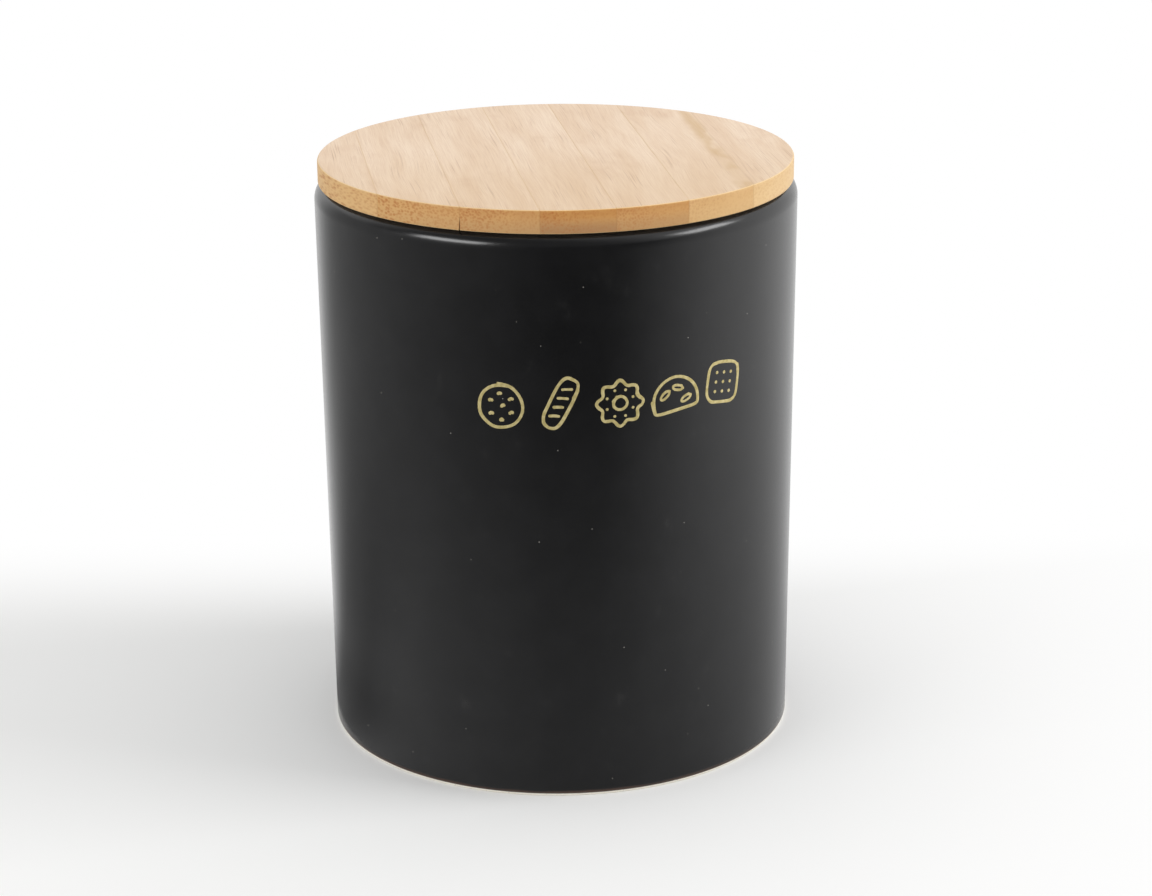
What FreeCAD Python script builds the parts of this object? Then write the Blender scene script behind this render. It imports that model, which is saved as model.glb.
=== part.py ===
# Biscuit jar: a matt glazed ceramic jar, closed by a bamboo lid with a silicone seal round its plug.
# All sizes are in millimetres. The jar stands on its foot ring at z = 0 and its axis is Z.
# The decorated front faces -Y. The lid is glued up from flat bamboo strips in two layers.
import FreeCAD
import Part
import math
import os

# The ceramic jar. Its wall leans outwards a little towards the mouth, as pressed ware does.
RIM_RADIUS = 70.0
WALL_LEAN = 1.5
BASE_RADIUS = RIM_RADIUS - WALL_LEAN
JAR_HEIGHT = 165.3
WALL_THICKNESS = 6.0
FLOOR_THICKNESS = 6.0
SHOULDER_RADIUS = 4.9
MOUTH_EDGE_RADIUS = 0.8
RIM_SEAT_WIDTH = 0.2
FLOOR_CORNER_RADIUS = 9.0
FOOT_EDGE_RADIUS = 0.9

# The unglazed foot ring, with a shallow recess under the floor.
FOOT_RING_WIDTH = 6.0
FOOT_INNER_EDGE_RADIUS = 0.8
RECESS_DEPTH = 1.4
RECESS_SLOPE = 1.2
RECESS_CORNER_RADIUS = 0.9

# The lid's upper board, which lies on the rim a little way in from the jar's outside.
LID_INSET = 1.2
LID_RADIUS = RIM_RADIUS - LID_INSET
LID_THICKNESS = 6.7
LID_UPPER_EDGE_BEVEL = 0.7
LID_LOWER_EDGE_BEVEL = 0.5

# The plug board below it, which hangs in the mouth and has a groove for the seal.
PLUG_GAP = 3.0
PLUG_DEPTH = 8.2
PLUG_EDGE_BEVEL = 0.9
GROOVE_EDGE_BEVEL = 0.25
GROOVE_HEIGHT = 4.6
GROOVE_DEPTH = 2.4
GROOVE_DROP = 1.7

# The silicone seal: a band in the groove with soft lips that reach for the mouth's wall.
SEAL_SLIP = 0.08
SEAL_BAND_PROUD = 0.4
LIP_COUNT = 2
LIP_THICKNESS = 0.9
LIP_RISE = 0.7
LIP_END_INSET = 0.35
LIP_TIP_RADIUS = 0.3
LIP_CLEARANCE = 0.25

# The bamboo strips. The two at a board's edges have their own widths, and equal ones fill the rest.
# The lid was cut off centre from its sheet and the plug from the middle of one, so their joints are
# staggered by about a third of a strip.
LID_FIRST_STRIP_WIDTH = 13.7
LID_LAST_STRIP_WIDTH = 20.4
LID_STRIP_COUNT = 7
PLUG_EDGE_STRIP_WIDTH = 19.6
PLUG_STRIP_COUNT = 6
LID_TURN_DEGREES = -6.3

FULL_TURN = 360.0
SLAB_MARGIN = 5.0
AXIS_POINT = FreeCAD.Vector(0, 0, 0)
AXIS_DIRECTION = FreeCAD.Vector(0, 0, 1)


# A flat face in the XZ plane from corners (radius from the axis, height, easing).
# An eased corner is cut back along both its sides. A tangent arc joins the two cuts on the clay and
# the silicone, and a flat bevel joins them on the boards.
def eased_face(corners, bevelled):
    starts = []
    ends = []
    joins = {}
    count = len(corners)
    for index, (x, z, easing) in enumerate(corners):
        corner = FreeCAD.Vector(x, 0, z)
        if easing <= 0:
            starts.append(corner)
            ends.append(corner)
            continue
        before = corners[index - 1]
        after = corners[(index + 1) % count]
        back = (FreeCAD.Vector(before[0], 0, before[1]) - corner).normalize()
        ahead = (FreeCAD.Vector(after[0], 0, after[1]) - corner).normalize()
        half_angle = back.getAngle(ahead) / 2
        reach = easing / math.tan(half_angle)
        first = corner + back * reach
        last = corner + ahead * reach
        bisector = (back + ahead).normalize()
        middle = corner + bisector * (easing / math.sin(half_angle) - easing)
        joins[index] = Part.LineSegment(first, last) if bevelled else Part.Arc(first, middle, last)
        starts.append(first)
        ends.append(last)
    outline = []
    for index in range(count):
        if index in joins:
            outline.append(joins[index].toShape())
        following = (index + 1) % count
        outline.append(Part.LineSegment(ends[index], starts[following]).toShape())
    return Part.Face(Part.Wire(outline))


# A solid of revolution about the jar's axis.
def turned(corners, bevelled=False):
    return eased_face(corners, bevelled).revolve(AXIS_POINT, AXIS_DIRECTION, FULL_TURN)


# The jar's inner wall follows its outer wall, one wall thickness inside it.
def inner_radius_at(height):
    outer = BASE_RADIUS + (RIM_RADIUS - BASE_RADIUS) * height / JAR_HEIGHT
    return outer - WALL_THICKNESS


# The wide shoulder and the mouth's edge leave a narrow flat seat between them for the lid.
def jar_body():
    floor_top = RECESS_DEPTH + FLOOR_THICKNESS
    foot_inner = BASE_RADIUS - FOOT_RING_WIDTH
    shoulder = min(SHOULDER_RADIUS, WALL_THICKNESS - MOUTH_EDGE_RADIUS - RIM_SEAT_WIDTH)
    return turned([
        (0, RECESS_DEPTH, 0),
        (foot_inner - RECESS_SLOPE, RECESS_DEPTH, RECESS_CORNER_RADIUS),
        (foot_inner, 0, FOOT_INNER_EDGE_RADIUS),
        (BASE_RADIUS, 0, FOOT_EDGE_RADIUS),
        (RIM_RADIUS, JAR_HEIGHT, shoulder),
        (inner_radius_at(JAR_HEIGHT), JAR_HEIGHT, MOUTH_EDGE_RADIUS),
        (inner_radius_at(floor_top), floor_top, FLOOR_CORNER_RADIUS),
        (0, floor_top, 0),
    ])


# The whole upper board before it is divided into its strips.
def lid_board():
    underside = JAR_HEIGHT
    top = underside + LID_THICKNESS
    return turned([
        (0, underside, 0),
        (LID_RADIUS, underside, LID_LOWER_EDGE_BEVEL),
        (LID_RADIUS, top, LID_UPPER_EDGE_BEVEL),
        (0, top, 0),
    ], bevelled=True)


PLUG_RADIUS = inner_radius_at(JAR_HEIGHT) - PLUG_GAP
GROOVE_RADIUS = PLUG_RADIUS - GROOVE_DEPTH
GROOVE_TOP = JAR_HEIGHT - GROOVE_DROP
GROOVE_BOTTOM = GROOVE_TOP - GROOVE_HEIGHT


# The whole plug board before it is divided into its strips.
def plug_board():
    top = JAR_HEIGHT
    underside = top - PLUG_DEPTH
    return turned([
        (0, underside, 0),
        (PLUG_RADIUS, underside, PLUG_EDGE_BEVEL),
        (PLUG_RADIUS, GROOVE_BOTTOM, GROOVE_EDGE_BEVEL),
        (GROOVE_RADIUS, GROOVE_BOTTOM, 0),
        (GROOVE_RADIUS, GROOVE_TOP, 0),
        (PLUG_RADIUS, GROOVE_TOP, GROOVE_EDGE_BEVEL),
        (PLUG_RADIUS, top, 0),
        (0, top, 0),
    ], bevelled=True)


# Round the band's outside, each lip leans up towards the wall, as it does once pushed in.
def seal_ring():
    bottom = GROOVE_BOTTOM + SEAL_SLIP
    top = GROOVE_TOP - SEAL_SLIP
    band_inner = GROOVE_RADIUS + SEAL_SLIP
    band_outer = PLUG_RADIUS + SEAL_BAND_PROUD
    lip_outer = inner_radius_at(GROOVE_BOTTOM) - LIP_CLEARANCE
    first_root = bottom + LIP_END_INSET
    last_root = top - LIP_END_INSET - LIP_THICKNESS
    pitch = (last_root - first_root) / max(LIP_COUNT - 1, 1)
    corners = [(band_inner, bottom, 0), (band_outer, bottom, 0)]
    for number in range(LIP_COUNT):
        root = first_root + pitch * number
        corners.append((band_outer, root, 0))
        corners.append((lip_outer, root + LIP_RISE, LIP_TIP_RADIUS))
        corners.append((lip_outer, root + LIP_RISE + LIP_THICKNESS, LIP_TIP_RADIUS))
        corners.append((band_outer, root + LIP_THICKNESS, 0))
    corners.append((band_outer, top, 0))
    corners.append((band_inner, top, 0))
    return turned(corners)


# Where a board's edges and the joints between its strips lie across the grain, from side to side.
def strip_edges(radius, first_width, last_width, count):
    inner_width = (2 * radius - first_width - last_width) / (count - 2)
    joints = [first_width - radius + inner_width * number for number in range(count - 1)]
    return [-radius] + joints + [radius]


# Cuts a board along its grain into strips that touch face to face.
# The slabs that cut it stand out past the board on every side but at the joints.
def divided(board, edges):
    strips = []
    bounds = board.BoundBox
    length = bounds.YLength + 2 * SLAB_MARGIN
    height = bounds.ZLength + 2 * SLAB_MARGIN
    sides = [edges[0] - SLAB_MARGIN] + edges[1:-1] + [edges[-1] + SLAB_MARGIN]
    for left, right in zip(sides[:-1], sides[1:]):
        corner = FreeCAD.Vector(left, -length / 2, bounds.ZMin - SLAB_MARGIN)
        slab = Part.makeBox(right - left, length, height, corner)
        slab.rotate(AXIS_POINT, AXIS_DIRECTION, LID_TURN_DEGREES)
        strips.append(board.common(slab))
    return strips


def lid_strips():
    edges = strip_edges(LID_RADIUS, LID_FIRST_STRIP_WIDTH, LID_LAST_STRIP_WIDTH, LID_STRIP_COUNT)
    return divided(lid_board(), edges)


def plug_strips():
    edges = strip_edges(PLUG_RADIUS, PLUG_EDGE_STRIP_WIDTH, PLUG_EDGE_STRIP_WIDTH, PLUG_STRIP_COUNT)
    return divided(plug_board(), edges)


def save(name, shape):
    shape.exportStep(os.path.join("parts", name + ".step"))
    print(name, "solids", len(shape.Solids), "volume", round(shape.Volume, 1), "valid", shape.isValid())


os.makedirs("parts", exist_ok=True)
save("jar_body", jar_body())
save("seal_ring", seal_ring())
for number, strip in enumerate(lid_strips(), start=1):
    save("lid_strip_" + str(number), strip)
for number, strip in enumerate(plug_strips(), start=1):
    save("plug_strip_" + str(number), strip)
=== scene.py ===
# %% [markdown]
# The biscuit jar: a round ceramic jar in matt black glaze, closed by a flat bamboo lid.
# This lesson dresses the jar's fixed frame. The frame already holds every rigid piece at its real size,
# so each step here asks only how a surface looks, and how its edges, seams and marks are made.
# Everything is in metres, the jar stands at the origin, and its decorated front faces -Y.

# %% Load the frame
import math
import random
import bmesh
import bpy
from mathutils import Matrix, Vector


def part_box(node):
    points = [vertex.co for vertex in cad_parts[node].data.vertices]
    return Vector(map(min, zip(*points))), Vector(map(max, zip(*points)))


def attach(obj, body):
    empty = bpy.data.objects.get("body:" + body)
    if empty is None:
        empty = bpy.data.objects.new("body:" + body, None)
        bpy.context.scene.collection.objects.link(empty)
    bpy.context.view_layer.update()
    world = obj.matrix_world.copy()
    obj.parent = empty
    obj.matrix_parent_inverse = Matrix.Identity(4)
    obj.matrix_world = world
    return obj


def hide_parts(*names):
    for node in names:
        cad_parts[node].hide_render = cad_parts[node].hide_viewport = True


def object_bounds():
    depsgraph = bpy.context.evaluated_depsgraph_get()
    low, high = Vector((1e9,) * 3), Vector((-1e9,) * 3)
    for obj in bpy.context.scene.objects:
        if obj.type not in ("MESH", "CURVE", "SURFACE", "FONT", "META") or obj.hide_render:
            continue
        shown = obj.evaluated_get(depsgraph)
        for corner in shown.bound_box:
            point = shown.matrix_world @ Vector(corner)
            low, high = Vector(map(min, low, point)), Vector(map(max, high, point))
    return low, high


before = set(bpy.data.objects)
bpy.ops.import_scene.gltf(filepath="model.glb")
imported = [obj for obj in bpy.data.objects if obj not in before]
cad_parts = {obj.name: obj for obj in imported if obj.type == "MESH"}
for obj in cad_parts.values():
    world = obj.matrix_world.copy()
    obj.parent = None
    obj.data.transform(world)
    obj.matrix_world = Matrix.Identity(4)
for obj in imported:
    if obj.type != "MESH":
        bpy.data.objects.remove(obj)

frame_bounds = [list(corner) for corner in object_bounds()]

# %% [markdown]
# Sizes come first. The heights are read from the frame, so that the looks can't drift from it. The
# radii, the wall, the edges and the lean are the maker's own values, and each is named once.

# %% Sizes of the jar
mm = 0.001
rim_radius = 70.0 * mm
wall_lean = 1.5 * mm
wall = 6.0 * mm
floor_top = 7.4 * mm
jar_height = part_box("jar_body")[1].z
lid_top = frame_bounds[1][2]
lid_radius = 68.8 * mm
base_radius = rim_radius - wall_lean


def outer_radius(height):
    """The leaning wall's outside at a height."""
    return base_radius + wall_lean * height / jar_height


print("jar", round(jar_height / mm, 2), "mm high, lid top at", round(lid_top / mm, 2), "mm")

# %% [markdown]
# Nearly every piece of a jar is round, because it was thrown, pressed or turned about one axis.
# A round piece could be a stack of cylinders, but a potter thinks of the section instead: draw half of
# it once and spin it about the axis. The corners are drawn sharp, and each ring of edges is then
# bevelled by its own amount, just as a fettling sponge or sandpaper eases each edge of the real piece.

# %% Spin a section and ease its rings
ROUND_STEPS = 240
MERGE_DISTANCE = 0.001 * mm
FLAT_ANGLE = math.radians(0.3)


def turned(section, closed):
    """A solid of revolution from (radius, height) corners. A closed section makes a ring."""
    bm = bmesh.new()
    points = [bm.verts.new((radius, 0, height)) for radius, height in section]
    ends = points[1:] + points[:1] if closed else points[1:]
    lines = [bm.edges.new(pair) for pair in zip(points, ends)]
    bmesh.ops.spin(bm, geom=points + lines, cent=(0, 0, 0), axis=(0, 0, 1), dvec=(0, 0, 0),
                   angle=math.tau, steps=ROUND_STEPS, use_merge=True, use_duplicate=False)
    bmesh.ops.remove_doubles(bm, verts=bm.verts, dist=MERGE_DISTANCE)
    bmesh.ops.recalc_face_normals(bm, faces=bm.faces)
    bmesh.ops.dissolve_limit(bm, angle_limit=FLAT_ANGLE, verts=bm.verts, edges=bm.edges)
    return bm


def ease_ring(bm, radius, height, amount, segments=5):
    """Round the ring of edges that lies at one radius and height."""
    def on_ring(vert):
        return abs(math.hypot(vert.co.x, vert.co.y) - radius) < MERGE_DISTANCE * 5 and \
            abs(vert.co.z - height) < MERGE_DISTANCE * 5
    ring = [edge for edge in bm.edges if all(on_ring(vert) for vert in edge.verts)]
    bmesh.ops.bevel(bm, geom=ring, offset=amount, offset_type='OFFSET', segments=segments,
                    profile=0.5, affect='EDGES', clamp_overlap=True, material=-1)


# %% [markdown]
# Every finished piece is handed over in the same way. It is shaded smooth but stays crisp at real
# corners, and a Weighted Normal modifier lets the big flat faces lead the shading, so that a narrow
# rounded edge doesn't smear light across the face beside it. Then it rides on a body of the frame,
# stands for the plain node it replaces, and says which finish it is made of.

# %% Hand a piece over
CRISP_ANGLE = math.radians(40)


def put_in_scene(bm, name, material):
    """Turn a finished shape into an object of the scene."""
    mesh = bpy.data.meshes.new(name)
    bm.to_mesh(mesh)
    bm.free()
    mesh.materials.append(material)
    placed = bpy.data.objects.new(name, mesh)
    bpy.context.scene.collection.objects.link(placed)
    return placed


def hand_over(bm, name, material, body, stands_for=()):
    """Turn a finished shape into a piece of the jar that rides on a body."""
    piece = put_in_scene(bm, name, material)
    piece.data.shade_smooth()
    piece.data.set_sharp_from_angle(angle=CRISP_ANGLE)
    shading = piece.modifiers.new("Flat faces lead", 'WEIGHTED_NORMAL')
    shading.keep_sharp = True
    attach(piece, body)
    if stands_for:
        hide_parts(*stands_for)
    print(name, "faces", len(piece.data.polygons))


# %% [markdown]
# A material is a small tree of nodes. Wiring each link by hand hides the idea under bookkeeping, so a
# few short helpers add one node at a time and take its inputs by name. A number goes straight into
# its socket, and another node's output is linked. Colours are written as the eye reads them on a
# screen, from 0 to 255, and turned into the linear light values that the renderer works in.

# %% Helpers for materials
def srgb(red, green, blue):
    """A screen colour as linear light, with full opacity."""
    def linear(value):
        share = value / 255
        return share / 12.92 if share <= 0.04045 else ((share + 0.055) / 1.055) ** 2.4
    return (linear(red), linear(green), linear(blue), 1.0)


def feed(tree, socket, value):
    """Set a socket to a number or colour, or link another node's output to it."""
    if isinstance(value, bpy.types.NodeSocket):
        tree.links.new(value, socket)
    else:
        socket.default_value = value


def add(tree, kind, settings=None, **inputs):
    """Add a node, choose its settings and feed its inputs. Spaces in input names are underscores."""
    node = tree.nodes.new("ShaderNode" + kind)
    for name, value in (settings or {}).items():
        setattr(node, name, value)
    for name, value in inputs.items():
        feed(tree, node.inputs[name.replace("_", " ")], value)
    return node


def calc(tree, operation, *values, clamp=False):
    """One step of arithmetic."""
    node = tree.nodes.new("ShaderNodeMath")
    node.operation = operation
    node.use_clamp = clamp
    for socket, value in zip(node.inputs, values):
        feed(tree, socket, value)
    return node.outputs[0]


def product(tree, *values):
    """All the values multiplied together."""
    total = values[0]
    for value in values[1:]:
        total = calc(tree, 'MULTIPLY', total, value)
    return total


def vector_calc(tree, operation, *values):
    """One step of arithmetic on places or directions."""
    node = tree.nodes.new("ShaderNodeVectorMath")
    node.operation = operation
    for socket, value in zip(node.inputs, values):
        feed(tree, socket, value)
    return node.outputs["Value" if operation in ('DOT_PRODUCT', 'LENGTH') else "Vector"]


def blend(tree, share, first, second):
    """Mix two colours by a share from 0 to 1."""
    node = tree.nodes.new("ShaderNodeMix")
    node.data_type = 'RGBA'
    feed(tree, node.inputs[0], share)
    feed(tree, node.inputs[6], first)
    feed(tree, node.inputs[7], second)
    return node.outputs[2]


def ramp(tree, value, low, high, start=0.0, end=1.0):
    """Carry a value smoothly from one range to another, and stop at its ends."""
    node = tree.nodes.new("ShaderNodeMapRange")
    node.interpolation_type = 'SMOOTHSTEP'
    for socket, number in zip(node.inputs, (value, low, high, start, end)):
        feed(tree, socket, number)
    return node.outputs[0]


def new_material(name):
    """An empty material with its surface shader and its output wired up."""
    material = bpy.data.materials.new(name)
    material.use_nodes = True
    tree = material.node_tree
    tree.nodes.clear()
    shader = tree.nodes.new("ShaderNodeBsdfPrincipled")
    output = tree.nodes.new("ShaderNodeOutputMaterial")
    tree.links.new(shader.outputs[0], output.inputs["Surface"])
    return material, tree, shader


def surface_of(tree):
    """The socket that takes a material's finished surface."""
    return next(node for node in tree.nodes if node.type == 'OUTPUT_MATERIAL').inputs["Surface"]


def position(tree, turn=0.0):
    """Where a point is on the piece, in millimetres, turned about the jar's axis."""
    place = tree.nodes.new("ShaderNodeTexCoord").outputs["Object"]
    in_mm = add(tree, "Mapping", Vector=place, Rotation=(0, 0, turn), Scale=(1000, 1000, 1000))
    return in_mm.outputs[0]


# %% [markdown]
# The black glaze is matt because tiny crystals grow in it as the kiln cools. It is nearly black, and
# what the eye reads is its reflection: a soft, wide sheen that climbs towards the silhouette. So its
# colour stays almost constant, and the work goes into roughness and bump. A broad, faint swell
# stands for the hand that wiped and sprayed it, a fine grain for the crystals. Where the glaze thins
# over the foot's edge, it breaks to a warm brown, as iron-bearing glazes do. The inside has a smoother
# liner glaze that wipes clean, over the faint rings that the turning tool left, and it is painted
# lighter than the outside, as painted light in the dark inside of the jar.

# %% Shades of the glaze, and where each begins, in millimetres
GLAZE_DARK = srgb(19, 19, 20)
GLAZE_LIGHT = srgb(23, 23, 24)
GLAZE_DUST = srgb(176, 172, 164)
GLAZE_SCUFF = srgb(150, 148, 144)
GLAZE_BROWN = srgb(74, 54, 42)
# Painted light: the inside glaze is painted lighter than the outside.
LINER_PAINTED_FILL_DARK = srgb(46, 45, 45)
LINER_PAINTED_FILL_LIGHT = srgb(56, 55, 54)
BREAK_LOW = 0.8
BREAK_HIGH = 2.0
FOOT_INNER_EDGE = 61.2
LINER_EDGE_LOW = 64.2
LINER_EDGE_HIGH = 64.9
LINER_START = 3.0
LINER_FULL = 5.0
TOOL_RING_SPACING = 2.6
GLAZE_SMOOTHEST = 0.17
GLAZE_ROUGHEST = 0.23
LINER_SMOOTHER_BY = 0.06

# %% The matt black glaze
def make_glaze():
    material, tree, shader = new_material("matt black glaze")
    place = position(tree)
    height = add(tree, "SeparateXYZ", Vector=place).outputs["Z"]
    crystals = add(tree, "TexNoise", Vector=place, Scale=2.6, Detail=3.0, Roughness=0.6).outputs[0]
    swell = add(tree, "TexNoise", Vector=place, Scale=0.035, Detail=1.5).outputs[0]
    cloud = add(tree, "TexNoise", Vector=place, Scale=0.11, Detail=3.0).outputs[0]
    tone = blend(tree, ramp(tree, cloud, 0.3, 0.7), GLAZE_DARK, GLAZE_LIGHT)

    # Dust specks, and a few scuffs where the jar was rubbed in its box.
    specks = add(tree, "TexVoronoi", Vector=place, Scale=0.16, Randomness=1.0).outputs["Distance"]
    tone = blend(tree, ramp(tree, specks, 0.018, 0.03, 0.7, 0.0), tone, GLAZE_DUST)
    scuff_place = add(tree, "Mapping", Vector=place, Rotation=(0.3, 0.5, 0.4), Scale=(0.16, 0.16, 0.11))
    scuffs = add(tree, "TexNoise", Vector=scuff_place.outputs[0], Scale=1.0, Detail=3.0,
                 Roughness=0.6).outputs[0]
    rubbed = product(tree, ramp(tree, scuffs, 0.58, 0.80), ramp(tree, cloud, 0.48, 0.62))
    tone = blend(tree, product(tree, rubbed, 0.025), tone, GLAZE_SCUFF)

    # The brown break at the foot, on the wall alone. Its edge wanders up and down a little.
    wander = calc(tree, 'MULTIPLY_ADD', cloud, 0.9, -0.45)
    thin = ramp(tree, calc(tree, 'ADD', height, wander), BREAK_LOW, BREAK_HIGH, 1.0, 0.0)
    from_axis = vector_calc(tree, 'LENGTH', vector_calc(tree, 'MULTIPLY', place, (1, 1, 0)))
    on_wall = ramp(tree, from_axis, FOOT_INNER_EDGE - 0.5, FOOT_INNER_EDGE)
    tone = blend(tree, product(tree, thin, on_wall), tone, GLAZE_BROWN)

    # Painted light: the liner is painted lighter than the outside glaze, so the dark inside shows.
    # The liner glaze, and the turning rings: across the floor they run outwards, and then up the wall.
    within_wall = ramp(tree, from_axis, LINER_EDGE_LOW, LINER_EDGE_HIGH, 1.0, 0.0)
    inside = product(tree, within_wall, ramp(tree, height, LINER_START, LINER_FULL))
    tone = blend(tree, inside, tone, blend(tree, cloud, LINER_PAINTED_FILL_DARK, LINER_PAINTED_FILL_LIGHT))
    path = product(tree, calc(tree, 'ADD', from_axis, height), math.tau / TOOL_RING_SPACING)
    waves = calc(tree, 'SINE', calc(tree, 'MULTIPLY_ADD', cloud, 4.0, path))
    rings = product(tree, waves, inside)
    feed(tree, shader.inputs["Base Color"], tone)
    matt = ramp(tree, crystals, 0.3, 0.7, GLAZE_SMOOTHEST, GLAZE_ROUGHEST)
    matt = calc(tree, 'MULTIPLY_ADD', inside, -LINER_SMOOTHER_BY, matt)
    feed(tree, shader.inputs["Roughness"], calc(tree, 'MULTIPLY_ADD', rubbed, 0.08, matt))
    shader.inputs["IOR"].default_value = 1.50
    broad = add(tree, "Bump", Height=swell, Strength=0.2, Distance=0.3 * mm)
    ringed = add(tree, "Bump", Height=rings, Strength=0.5, Distance=0.03 * mm, Normal=broad.outputs[0])
    fine = add(tree, "Bump", Height=crystals, Strength=0.06, Distance=0.02 * mm,
               Normal=ringed.outputs[0])
    feed(tree, shader.inputs["Normal"], fine.outputs[0])
    return material


glaze = make_glaze()

# %% [markdown]
# Under the glaze is cream stoneware. It shows only on the foot ring, which is wiped clean so that the
# jar doesn't fuse to the kiln shelf. Bare clay is dull and slightly grainy, with small iron spots.

# %% The bare clay
def make_clay():
    material, tree, shader = new_material("bare cream clay")
    place = position(tree)
    grain = add(tree, "TexNoise", Vector=place, Scale=3.5, Detail=4.0, Roughness=0.7).outputs[0]
    spots = add(tree, "TexVoronoi", Vector=place, Scale=0.7).outputs["Distance"]
    tone = blend(tree, ramp(tree, grain, 0.35, 0.7), srgb(243, 237, 223), srgb(252, 249, 240))
    tone = blend(tree, ramp(tree, spots, 0.06, 0.14, 0.5, 0.0), tone, srgb(150, 112, 80))
    feed(tree, shader.inputs["Base Color"], tone)
    shader.inputs["Roughness"].default_value = 0.88
    bump = add(tree, "Bump", Height=grain, Strength=0.6, Distance=0.06 * mm)
    feed(tree, shader.inputs["Normal"], bump.outputs[0])
    return material


clay = make_clay()

# %% [markdown]
# The jar itself is one spun section: up the outside, over the shoulder, down the inside and across
# the floor. A dark product lives by its edges, so the shoulder and the mouth are bevelled with many
# segments and catch a clean line of light. The rim lies a hair below the lid, as a board that rests
# on a few high spots does. The glaze stops just above the surface that the jar stands on, so the
# section is cut back there, and the clay ring is a piece of its own.

# %% The glazed body
shoulder_rounding = 4.9 * mm
mouth_rounding = 0.8 * mm
floor_rounding = 9.0 * mm
foot_width = 6.0 * mm
recess = 1.4 * mm
recess_slope = 1.2 * mm
glaze_line = 0.75 * mm
rim_seat = jar_height - 0.02 * mm
glaze_roll = 0.3 * mm

mouth_radius = outer_radius(jar_height) - wall
floor_radius = outer_radius(floor_top) - wall
foot_inner = base_radius - foot_width


def make_body():
    bm = turned([
        (0, recess),
        (foot_inner - recess_slope, recess),
        (foot_inner - recess_slope / 2, glaze_line),
        (outer_radius(glaze_line), glaze_line),
        (rim_radius, rim_seat),
        (mouth_radius, rim_seat),
        (floor_radius, floor_top),
        (0, floor_top),
    ], closed=False)
    ease_ring(bm, floor_radius, floor_top, floor_rounding, 10)
    ease_ring(bm, mouth_radius, rim_seat, mouth_rounding, 6)
    ease_ring(bm, rim_radius, rim_seat, shoulder_rounding, 12)
    ease_ring(bm, outer_radius(glaze_line), glaze_line, glaze_roll, 4)
    hand_over(bm, "glazed_body", glaze, "jar", ["jar_body"])


make_body()

# %% [markdown]
# The foot ring is the clay that the glaze leaves bare. It sits a little inside the glaze, because the
# glaze adds its own thickness, and its edges are sponged round.

# %% The bare foot ring
glaze_thickness = 0.25 * mm
foot_overlap = 0.4 * mm
foot_rounding = 0.55 * mm


def make_foot():
    outer = base_radius - glaze_thickness
    inner = foot_inner
    top = glaze_line + foot_overlap
    bm = turned([(inner, 0), (outer, 0), (outer, top), (inner, top)], closed=True)
    ease_ring(bm, outer, 0, foot_rounding, 5)
    ease_ring(bm, inner, 0, foot_rounding, 5)
    hand_over(bm, "bare_foot_ring", clay, "jar")


make_foot()

# %% [markdown]
# Bamboo is a grass. Its stem is pale pith-like tissue with long dark fibre bundles running along it,
# crowded near the skin and sparse inside. One solid pattern therefore explains every face: along the
# grain the bundles are streaks, and across the grain they are dots. So the material is built in three
# dimensions from the position in the board, stretched along the grain, and nothing is painted face by
# face. The boards are turned a little on the jar, so the position is turned back first, and then X
# runs across the grain and Y along it.

# %% Shades of bamboo
FACE_DARK = srgb(233, 206, 177)
FACE_LIGHT = srgb(244, 222, 197)
FACE_FIBRE = srgb(204, 164, 130)
FACE_BUNDLE = srgb(166, 124, 92)
FACE_GOLDEN = srgb(204, 166, 112)
SIDE_PALE = srgb(238, 209, 162)
SIDE_GOLDEN = srgb(213, 163, 90)
END_PALE = srgb(222, 184, 128)
END_GOLDEN = srgb(192, 134, 72)
# A painted shade for the lower part of a cut end.
END_LOWER_SHADE = srgb(160, 118, 80)
END_DOT = srgb(174, 94, 30)
# A painted highlight for the eased edges of the board.
EDGE_HIGHLIGHT = srgb(250, 220, 162)
JOINT_LINE = srgb(150, 108, 72)

# %% The fibres of a board
lid_turn_angle = math.radians(-6.3)


def noise(tree, place, scale, detail=3.0, roughness=0.6):
    """Soft noise around 0.5, with its own scale across the grain, along it and upwards."""
    spread = add(tree, "Mapping", Vector=place, Scale=scale).outputs[0]
    return add(tree, "TexNoise", Vector=spread, Scale=1.0, Detail=detail, Roughness=roughness).outputs[0]


def fibre_bundles(tree, place, across, thickness, length):
    """Dots across the grain and streaks along it, from 0 beside a bundle to 1 in its middle."""
    spread = add(tree, "Mapping", Vector=place, Scale=(1 / across, 1 / length, 1 / across)).outputs[0]
    cells = add(tree, "TexVoronoi", Vector=spread, Scale=1.0, Randomness=0.85)
    return ramp(tree, cells.outputs["Distance"], thickness * 0.35, thickness, 1.0, 0.0)


def grain_place(tree):
    """A point in the board's own directions: X across the grain, Y along it. The fibres wave a little."""
    place = position(tree, turn=-lid_turn_angle)
    wave = noise(tree, place, (0.02, 0.018, 0.02), detail=1.0)
    aside = add(tree, "CombineXYZ", X=calc(tree, 'MULTIPLY_ADD', wave, 5.0, -2.5))
    return place, vector_calc(tree, 'ADD', place, aside.outputs[0])


# %% One value for each strip
def pick(tree, number, values):
    """The value of a strip, whose whole number counts from -1 at the board's first strip."""
    total = 0.0
    for index, value in enumerate(values):
        total = calc(tree, 'MULTIPLY_ADD', calc(tree, 'COMPARE', number, index - 1, 0.5), value, total)
    return total


# %% [markdown]
# The flat face shows slow drifts of tone, fine fibres, bundles that come and go, and wood that turns a
# little more golden towards the front. One strip also kept some of the skin beside a joint, as a broken
# golden streak.

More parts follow.
